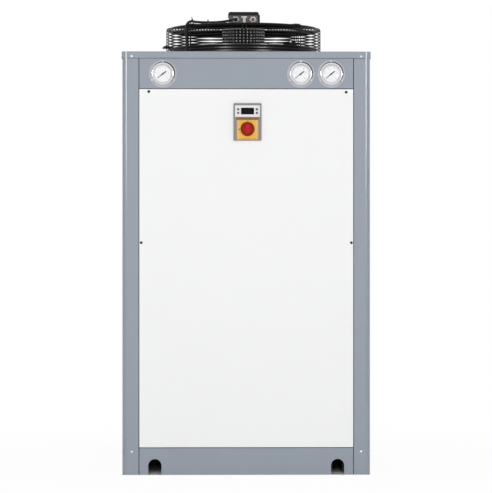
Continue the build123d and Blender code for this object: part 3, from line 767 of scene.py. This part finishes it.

# %% [markdown]
# ## Painted shade in the seams
# Between panels, posts and rails a seam of a millimetre and a half stays open. A black strip stands
# in for the shade in it, as painted shade: its stem sits in the seam and its thin lips lie on both
# skins, so a seam reads as a fine dark line from every side. The strip is one profile, drawn once and
# run along every seam.

# %% Shade strip profile
lid_low, lid_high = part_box("top_panel")
post_low, post_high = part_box("corner_post_front_left")[0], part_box("corner_post_rear_right")[1]
SEAM = 0.0015
SHADE_STRIP_STEM = SEAM / 2 - 0.00003
SHADE_STRIP_PROFILE = [
    (-SHADE_STRIP_STEM, 0.004), (-SHADE_STRIP_STEM, -0.00001), (-0.00115, -0.00001), (-0.0009, -0.00022),
    (0.0009, -0.00022), (0.00115, -0.00001), (SHADE_STRIP_STEM, -0.00001), (SHADE_STRIP_STEM, 0.004),
]
# Black, as painted shade: these strips stand in for the shade in the seams and under the cap's rim.
shade_strip_black = moulded("shade_strip_black", (0.016, 0.016, 0.017), 0.7, 0.0001, 700.0, specular=0.15)


def fill_trim(work, outward, start, finish):
    """The shade strip's profile, run from start to finish in the plane of an outer face."""
    inward = -Vector(outward)
    across = (finish - start).cross(inward).normalized()
    outline = [across * side + inward * depth for side, depth in SHADE_STRIP_PROFILE]
    skin(work, [[place + point for point in outline] for place in (start, finish)])


# %% Shade strips along every seam
rail_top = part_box("base_rail_front")[1].z
panel_low, panel_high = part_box("front_panel")
header_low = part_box("gauge_panel")[0].z
SEAM_LEVELS = ((rail_top + panel_low.z) / 2, (panel_high.z + header_low) / 2)
LEVEL_STRIP_SHORT, UPRIGHT_STRIP_SHORT = 0.0014, 0.001


def fill_trims(work):
    for outward in (FRONT, REAR, LEFT, RIGHT):
        faces_front = outward[1] != 0
        along = Vector((1, 0, 0) if faces_front else (0, 1, 0))
        base = Vector(outward) * (post_high.y if faces_front else post_high.x)
        half = (panel_high.x if faces_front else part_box("left_header")[1].y) + SEAM / 2
        for side in (-half, half):
            foot, top = base + along * side, base + along * side
            foot.z, top.z = UPRIGHT_STRIP_SHORT, lid_low.z - UPRIGHT_STRIP_SHORT
            fill_trim(work, outward, foot, top)
        reach = along * (half - LEVEL_STRIP_SHORT)
        for level in SEAM_LEVELS:
            middle = base + Vector((0, 0, level))
            fill_trim(work, outward, middle - reach, middle + reach)


add_piece("seam_shade_strips", fill_trims, shade_strip_black)

# %% [markdown]
# Under the roof cap's rim runs a black strip, as painted shade. Only its lower edge shows, as the
# shadow line between the cap and the header. It is a strip with a crowned underside on each side of
# the cabinet.

# %% Shade strip under the cap
CAP_STRIP_EDGE, CAP_STRIP_CROWN = -0.00054, -0.0009
CAP_STRIP_PROFILE = [(0.0001, 0.0), (0.0019, 0.0), (0.0019, CAP_STRIP_EDGE), (0.001, CAP_STRIP_CROWN), (0.0001, CAP_STRIP_EDGE)]
CAP_STRIP_STEPS = 8
POST_ROUNDING = 0.016


def fill_cap_seal(work):
    corner = Vector((post_high.x, post_high.y, 0))
    for outward in (FRONT, REAR, LEFT, RIGHT):
        out = Vector(outward)
        along = Vector((1, 0, 0) if outward[1] else (0, 1, 0))
        half = along * (abs(along.dot(corner)) - POST_ROUNDING)
        base = out * abs(out.dot(corner)) + Vector((0, 0, lid_low.z))
        outline = [base + out * away + Vector((0, 0, drop)) for away, drop in CAP_STRIP_PROFILE]
        shifts = [half * (2 * step / CAP_STRIP_STEPS - 1) for step in range(CAP_STRIP_STEPS + 1)]
        skin(work, [[point + shift for point in outline] for shift in shifts])


# The strip under the cap is black: painted shade under the rim.
add_piece("cap_shade_strip", fill_cap_seal, shade_strip_black)

# %% [markdown]
# ## Rivets of the roof and the posts
# On every side, one small rivet near each corner holds the roof cap's rim to a post, and one holds
# the post's foot to the base. They are bare aluminium and read as light dots on the blue paint.

# %% Rivets
rivet_metal = plated("rivet_metal", (0.5, 0.54, 0.58), 0.34)
RIM_RIVET, FOOT_RIVET = 1.2682, 0.07
RIVET_X, RIVET_Y = 0.3475, 0.5715
rivet_spots = []
for across in (-RIVET_X, RIVET_X):
    for lid_y, post_y, outward in ((lid_low.y, post_low.y, FRONT), (lid_high.y, post_high.y, REAR)):
        rivet_spots += [((across, lid_y, RIM_RIVET), outward), ((across, post_y, FOOT_RIVET), outward)]
for along in (-RIVET_Y, RIVET_Y):
    for lid_x, post_x, outward in ((lid_low.x, post_low.x, LEFT), (lid_high.x, post_high.x, RIGHT)):
        rivet_spots += [((lid_x, along, RIM_RIVET), outward), ((post_x, along, FOOT_RIVET), outward)]
heads("body_rivets", rivet_spots, (0.0035, 0.0012), rivet_metal, cross=0.0)

# %% [markdown]
# ## Gauge screws and gaskets
# Each gauge is held by three small bright screws in its flange. Between flange and bezel is a rubber
# gasket. Its outer circle is shifted, so it widens into a dark crescent at the upper right and
# vanishes at the lower left: the ring is real, the crescent is painted shade.

# %% Gauge screws
FLANGE_SCREW_RADIUS = 0.0376
FLANGE_THICK = 0.0025
flange_face = front_y - FLANGE_THICK
gauge_spots = []
for centre in gauge_centres.values():
    for angle in (90, 210, 330):
        spot = polar(FLANGE_SCREW_RADIUS, angle)
        gauge_spots.append(((centre.x + spot.x, flange_face, centre.z + spot.y), FRONT))
heads("gauge_screws", gauge_spots, (0.0028, 0.0014), bright_screw, cross=0.55)

# %% Gaskets
gasket_rubber_and_shade = moulded("gasket_rubber_and_shade", (0.02, 0.021, 0.024), 0.55, specular=0.3)
# The shifted outer circle makes a dark crescent at the upper right: painted shade.
CRESCENT_SHADE_SHIFT = Vector((0.0016, 0.0021, 0))
GASKET_PROFILE = ((0.0345, 0.0, 0), (0.0354, 0.0, 1), (0.0354, 0.0009, 1), (0.0345, 0.0012, 0))


def fill_gaskets(work):
    for centre in gauge_centres.values():
        matrix = facing((centre.x, flange_face, centre.z), FRONT)
        loops = []
        for radius, height, shifted in GASKET_PROFILE:
            loops.append([matrix @ (spot + CRESCENT_SHADE_SHIFT * shifted) for spot in circle(radius, 72, height)])
        skin(work, loops, around=True)


add_piece("gauge_gaskets_with_shade", fill_gaskets, gasket_rubber_and_shade)


# %% [markdown]
# ## Dial marks
# The dials are printed: a scale of fifty small divisions over 270 degrees, a long mark and a number
# at every tenth, and a thin red band over the top end. As thin raised ink they are real geometry,
# sharp at any distance, and they export without an image. The numbers are plain and name no unit.

# %% Flat ink shapes
INK = 0.00006


def ink_shape(work, matrix, outline):
    """A thin layer of ink with this outline."""
    skin(work, [[matrix @ Vector((x, y, height)) for x, y in outline] for height in (0, INK)])


def ink_bar(work, matrix, inner, outer, angle, width):
    """A thin bar along a radius."""
    turn = Matrix.Rotation(math.radians(angle), 4, "Z")
    outline = [(inner, -width / 2), (outer, -width / 2), (outer, width / 2), (inner, width / 2)]
    ink_shape(work, matrix @ turn, outline)


def ink_arc(work, matrix, inner, outer, first, last):
    """A thin band along part of a circle, from angle first down to last, in steps of four degrees or so."""
    steps = int((first - last) / 4)
    angles = [first + (last - first) * step / steps for step in range(steps + 1)]
    profile = [(inner, 0), (outer, 0), (outer, INK), (inner, INK)]
    skin(work, [[matrix @ polar(radius, angle, height) for radius, height in profile] for angle in angles])


# %% Lettering
def lettering(work, matrix, text, size):
    """Letters as a thin mesh, made from Blender's own font."""
    curve = bpy.data.curves.new("letters", "FONT")
    curve.body, curve.size, curve.extrude, curve.resolution_u = text, size, INK / 2, 3
    curve.align_x = curve.align_y = "CENTER"
    holder = bpy.data.objects.new("letters", curve)
    mesh = bpy.data.meshes.new_from_object(holder)
    mesh.transform(matrix @ Matrix.Translation((0, 0, INK / 2)))
    work.from_mesh(mesh)
    bpy.data.objects.remove(holder)
    bpy.data.curves.remove(curve)
    bpy.data.meshes.remove(mesh)


# %% Scales and numbers
SCALE_START, SCALE_SWEEP = 225.0, 270.0
DIVISIONS = 50
SCALE_INNER, SCALE_OUTER = 0.0249, 0.0251
LONG_MARK, SHORT_MARK = (0.0215, 0.0004), (0.0233, 0.0002)
NUMBER_RADIUS, NUMBER_SIZE = 0.0178, 0.0044
RED_INNER, RED_OUTER = 0.0255, 0.0264
RED_START = 0.8
DIAL_NUMBERS = {"left": (0, 2, 4, 6, 8, 10), "middle": (0, 6, 12, 18, 24, 30), "right": (0, 3, 6, 9, 12, 15)}
dial_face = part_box("gauge_dials")[0].y
ink_black = moulded("ink_black", (0.12, 0.12, 0.13), 0.5)
ink_red = moulded("ink_red", (0.62, 0.2, 0.17), 0.5)


def fill_scales(work):
    for name, centre in gauge_centres.items():
        matrix = facing((centre.x, dial_face, centre.z), FRONT)
        ink_arc(work, matrix, SCALE_INNER, SCALE_OUTER, SCALE_START, SCALE_START - SCALE_SWEEP)
        for division in range(DIVISIONS + 1):
            angle = SCALE_START - SCALE_SWEEP * division / DIVISIONS
            inner, width = SHORT_MARK if division % 10 else LONG_MARK
            ink_bar(work, matrix, inner, SCALE_INNER, angle, width)
        for step, number in enumerate(DIAL_NUMBERS[name]):
            spot = polar(NUMBER_RADIUS, SCALE_START - SCALE_SWEEP * step / 5)
            lettering(work, matrix @ Matrix.Translation(spot), str(number), NUMBER_SIZE)


def fill_red_bands(work):
    for centre in gauge_centres.values():
        matrix = facing((centre.x, dial_face, centre.z), FRONT)
        first = SCALE_START - RED_START * SCALE_SWEEP
        ink_arc(work, matrix, RED_INNER, RED_OUTER, first, SCALE_START - SCALE_SWEEP)


add_piece("dial_scales", fill_scales, ink_black)
add_piece("dial_red_bands", fill_red_bands, ink_red)

# %% [markdown]
# ## Window seals
# Inside each bezel a thin grey ring holds the glass. It is a small bead, one turned profile, and it
# gives the dial its fine outline.

# %% Window seals
glass_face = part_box("gauge_glasses")[0].y


def fill_seals(work):
    bead = [(0.0272, 0.0), (0.028, 0.0), (0.028, 0.0006), (0.0276, 0.0009), (0.0272, 0.0006)]
    for centre in gauge_centres.values():
        lathe(work, facing((centre.x, glass_face, centre.z), FRONT), bead, 64, closed=True)


seal_grey = moulded("seal_grey", (0.3, 0.3, 0.31), 0.5)
add_piece("window_seals", fill_seals, seal_grey)

# %% [markdown]
# ## Marks on the main switch
# The plate carries two printed marks, a nought on the left and an upright stroke at the top. The
# knob points to one or the other. They are generic symbols for off and on.

# %% Switch marks
plate_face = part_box("switch_plate")[0].y
NOUGHT_X, NOUGHT_Z = -0.0222, 1.0468
STROKE_X, STROKE_Z = 0.0042, 1.0722
NOUGHT_INNER, MARK_REACH, STROKE_WIDTH = 0.0012, 0.0025, 0.0013
mark_olive = moulded("mark_olive", (0.05, 0.04, 0.008), 0.5)


def fill_switch_marks(work):
    nought = [(NOUGHT_INNER, 0.0), (MARK_REACH, 0.0), (MARK_REACH, INK), (NOUGHT_INNER, INK)]
    lathe(work, facing((NOUGHT_X, plate_face, NOUGHT_Z), FRONT), nought, 36, closed=True)
    stroke_place = facing((STROKE_X, plate_face, STROKE_Z), FRONT)
    ink_bar(work, stroke_place, -MARK_REACH, MARK_REACH, 90, STROKE_WIDTH)


add_piece("switch_marks", fill_switch_marks, mark_olive)

# %% [markdown]
# ## Unlit digits
# The controller is off, so its window is black with the segments of three digits just visible. A
# segment is a flat hexagon, and seven of them in a figure of eight make a digit.

# %% Digits
DIGIT_WIDTH, DIGIT_HEIGHT, DIGIT_PITCH = 0.0056, 0.0108, 0.0088
SEGMENT_HALF, SEGMENT_GAP = 0.0006, 0.0003
window_low, window_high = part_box("display")
segment_off = moulded("segment_off", (0.012, 0.008, 0.008), 0.4, specular=0.1)


def fill_segment(work, matrix, length):
    tip, shoulder = length / 2, length / 2 - SEGMENT_HALF
    outline = [(-tip, 0), (-shoulder, SEGMENT_HALF), (shoulder, SEGMENT_HALF)]
    ink_shape(work, matrix, outline + [(-x, -y) for x, y in outline])


def fill_digits(work):
    middle = (window_low + window_high) / 2
    upright = Matrix.Rotation(math.pi / 2, 4, "Z")
    for digit in (-1, 0, 1):
        base = facing((middle.x + digit * DIGIT_PITCH, window_low.y, middle.z), FRONT)
        for level in (-1, 0, 1):
            place = Matrix.Translation((0, level * DIGIT_HEIGHT / 2, 0))
            fill_segment(work, base @ place, DIGIT_WIDTH - SEGMENT_GAP)
        for side in (-1, 1):
            for half in (-1, 1):
                place = Matrix.Translation((side * DIGIT_WIDTH / 2, half * DIGIT_HEIGHT / 4, 0))
                fill_segment(work, base @ place @ upright, DIGIT_HEIGHT / 2 - SEGMENT_GAP)


add_piece("unlit_digits", fill_digits, segment_off)


# %% [markdown]
# ## Bolts of the fan
# Hexagon bolts with washers hold the fan ring to the roof, the guard's lugs to the ring, and the
# motor to the guard's plate. A bolt is three turned shapes: a washer, a head with six sides whose
# top is chamfered, and a small raised middle.

# %% Hexagon bolts
WASHER_EDGE, WASHER_TOP = 0.0008, 0.001


def fill_bolt(work, matrix, across):
    """A bolt of this width across flats, from which its other measures follow as shares."""
    point = across / math.sqrt(3)
    washer = [(across * 0.75, 0), (across * 0.75, WASHER_EDGE), (across * 0.7, WASHER_TOP)]
    head = [(point, WASHER_TOP), (point, across * 0.42), (point * 0.86, across * 0.52)]
    middle = [(across * 0.3, across * 0.5), (across * 0.3, across * 0.56), (across * 0.2, across * 0.58)]
    for profile, sides in ((washer, 28), (head, 6), (middle, 20)):
        lathe(work, matrix, profile, sides)


def bolts(name, spots, across, material):
    spin = random.Random(name)

    def fill(work):
        for place in spots:
            fill_bolt(work, facing(place, UP, spin.uniform(0, math.pi / 3)), across)

    add_piece(name, fill, material)


# %% Bolts in place
RING_PLATE, LUG_HEIGHT = 0.003, 0.006
RING_BOLT_RADIUS, LUG_BOLT_RADIUS, MOTOR_BOLT_RADIUS = 0.2392, 0.2578, 0.0625
LUG_ANGLES, LUG_BOLT_ANGLE = (67.5, 187.5, 307.5), 2.7
ring_plate_top = lid_high.z + RING_PLATE
lug_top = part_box("fan_ring")[1].z + LUG_HEIGHT
plate_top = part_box("guard_ribs")[1].z
ring_spots = [polar(RING_BOLT_RADIUS, 22.5 + 45 * n, ring_plate_top) for n in range(8)]
bolts("ring_bolts", ring_spots, 0.007, bright_screw)
lug_spots = []
for lug in LUG_ANGLES:
    for beside in (-LUG_BOLT_ANGLE, LUG_BOLT_ANGLE):
        lug_spots.append(polar(LUG_BOLT_RADIUS, lug + beside, lug_top))
bolts("lug_bolts", lug_spots, 0.006, bright_screw)
motor_spots = [polar(MOTOR_BOLT_RADIUS, 90 * n, plate_top) for n in range(4)]
bolts("motor_bolts", motor_spots, 0.006, dark_screw)

# %% [markdown]
# ## Terminal box
# Four screws hold the cover by its corners. The right gland has no cable, so a reddish plug closes
# it, and the left one has a rubber lip round the fan's cable.

# %% Cover screws, plug and lip
COVER_SCREW_X, COVER_SCREW_Y = 0.039, 0.036
GLAND_X, PLUG_X = -0.026, 0.03
cover_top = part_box("terminal_box_cover")[1].z
cover_spots = [((x * COVER_SCREW_X, y * COVER_SCREW_Y, cover_top), UP) for x in (-1, 1) for y in (-1, 1)]
heads("cover_screws", cover_spots, (0.003, 0.0012), bright_screw)
gland_low, gland_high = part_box("cable_glands")
gland_z = (gland_low.z + gland_high.z) / 2
plug_red = moulded("plug_red", (0.2, 0.055, 0.05), 0.5)
lip_black = moulded("lip_black", (0.02, 0.02, 0.021), 0.6, specular=0.3)


def fill_plug(work):
    dome = [(0.0052, 0.0), (0.0052, 0.0008), (0.0046, 0.0016), (0.003, 0.0019), (0.0028, 0.0012)]
    lathe(work, facing((PLUG_X, gland_low.y, gland_z), FRONT), dome, 36)


def fill_lip(work):
    lip = [(0.00405, 0.0), (0.0068, 0.0), (0.0062, 0.0012), (0.0048, 0.0024), (0.00405, 0.0024)]
    lathe(work, facing((GLAND_X, gland_low.y, gland_z), FRONT), lip, 36, closed=True)


add_piece("gland_plug", fill_plug, plug_red)
add_piece("gland_lip", fill_lip, lip_black)


# %% [markdown]
# ## Cable ties
# Two nylon ties hold the fan's cable to the guard, one where it leaves the flat top and one on the
# way there. A tie is a belt round cable and wire, a square head on top, and a cut end that sticks
# up. The belt is a closed outline with a thickness, extruded along the cable.

# %% Belt, head and tail
TIE_WIDTH, TIE_THICK = 0.0026, 0.0009


def slab(work, matrix, size, top_share):
    """A block that narrows from its foot to this share of it at the top."""
    x, y, z = (value / 2 for value in size)
    corners = (Vector((-x, -y, 0)), Vector((x, -y, 0)), Vector((x, y, 0)), Vector((-x, y, 0)))
    foot = [matrix @ (corner + Vector((0, 0, -z))) for corner in corners]
    top = [matrix @ (corner * top_share + Vector((0, 0, z))) for corner in corners]
    skin(work, [foot, top])


def fill_belt(work, matrix, outline):
    """A belt in the local XY plane round an outline of points, wide along local Z."""
    middle = sum(outline, Vector()) / len(outline)
    half = Vector((0, 0, TIE_WIDTH / 2))
    loops = []
    for inner in outline:
        outer = inner + (inner - middle).normalized() * TIE_THICK
        loops.append([matrix @ spot for spot in (inner - half, outer - half, outer + half, inner + half)])
    skin(work, loops, around=True)


# %% Ties in place
CABLE_HALF = 0.0042
TIE_CORNER = 0.001
TIE_HEAD = (0.0046, 0.0036, 0.0042)
HEAD_X, HEAD_ABOVE, TAIL_ABOVE = 0.0012, 0.0018, 0.0035
TIE_HEAD_TOP = 0.82
TAIL_WIDTH, TAIL_THICK, TAIL_SUNK = 0.0022, 0.0011, 0.001


def tie_outline(bottom, wide):
    """Over the cable as a half circle, then down to a flat bottom of half width wide."""
    over = [polar(CABLE_HALF, angle) for angle in range(0, 181, 20)]
    flat = wide - TIE_CORNER
    corners = ((-wide, TIE_CORNER), (-flat, 0), (flat, 0), (wide, TIE_CORNER))
    return over + [Vector((x, bottom + y, 0)) for x, y in corners]


def fill_ties(work):
    for place, heading, bottom, wide, lean, cut in (
        ((-0.1672, -0.1672, 1.413), 225.0, -0.0094, 0.0074, 0.35, 0.009),
        ((-0.1165, -0.1436, 1.4118), 194.7, -0.013, 0.0044, -0.5, 0.004),
    ):
        along = polar(1.0, heading)
        matrix = Matrix.Translation(place) @ along.to_track_quat("Z", "Y").to_matrix().to_4x4()
        fill_belt(work, matrix, tie_outline(bottom, wide))
        head = Matrix.Translation((HEAD_X, CABLE_HALF + HEAD_ABOVE, 0))
        slab(work, matrix @ head, TIE_HEAD, TIE_HEAD_TOP)
        tail = Matrix.Translation((HEAD_X, CABLE_HALF + TAIL_ABOVE, 0)) @ Matrix.Rotation(lean, 4, "Z")
        stand = Matrix.Translation((0, cut / 2 - TAIL_SUNK, 0))
        slab(work, matrix @ tail @ stand, (TAIL_THICK, cut, TAIL_WIDTH), 1.0)


tie_black = moulded("tie_black", (0.03, 0.03, 0.031), 0.35)
add_piece("cable_ties", fill_ties, tie_black)

# %% [markdown]
# ## Condenser
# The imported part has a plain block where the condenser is. The real one is a stack of rippled
# aluminium fins, about two millimetres apart, threaded on copper tubes that run from front to rear.
# Each fin is one folded strip with a thickness, and all are made in one mesh, because five hundred
# objects would be slow to handle.

# %% Fins
coil_low, coil_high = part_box("condenser_coil")
FIN_PITCH, FIN_THICK, FIN_RIPPLE = 0.0021, 0.00018, 0.00035
FIN_FOLDS, FIN_INSET = 6, 0.0005


def fill_fins(work):
    depth = coil_high.x - coil_low.x - 2 * FIN_INSET
    for fin in range(int((coil_high.y - coil_low.y) / FIN_PITCH)):
        y = coil_low.y + (fin + 0.5) * FIN_PITCH
        loops = []
        for fold in range(FIN_FOLDS + 1):
            x = coil_low.x + FIN_INSET + depth * fold / FIN_FOLDS
            near = y + FIN_RIPPLE * (1 if fold % 2 else -1)
            far = near + FIN_THICK
            foot, top = coil_low.z, coil_high.z
            loops.append([(x, near, foot), (x, far, foot), (x, far, top), (x, near, top)])
        skin(work, loops)


fins = add_piece("condenser_fins", fill_fins, fin_metal)
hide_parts("condenser_coil")

# %% Tubes
TUBE_PITCH, TUBE_RADIUS = 0.0254, 0.0048
FLARE_RADIUS, FLARE_LENGTH = 0.006, 0.003
copper = plated("copper", (0.6, 0.3, 0.18), 0.3)


def fill_tubes(work):
    length = coil_high.y - coil_low.y
    profile = [(FLARE_RADIUS, 0.0), (TUBE_RADIUS, FLARE_LENGTH)]
    profile += [(radius, length - height) for radius, height in reversed(profile)]
    for row in range(int((coil_high.z - coil_low.z) / TUBE_PITCH)):
        for column, share in enumerate((0.3, 0.7)):
            z = coil_low.z + (row + 0.35 + 0.3 * column) * TUBE_PITCH
            x = coil_low.x + share * (coil_high.x - coil_low.x)
            lathe(work, facing((x, coil_low.y, z), REAR), profile, 12)


add_piece("condenser_tubes", fill_tubes, copper)
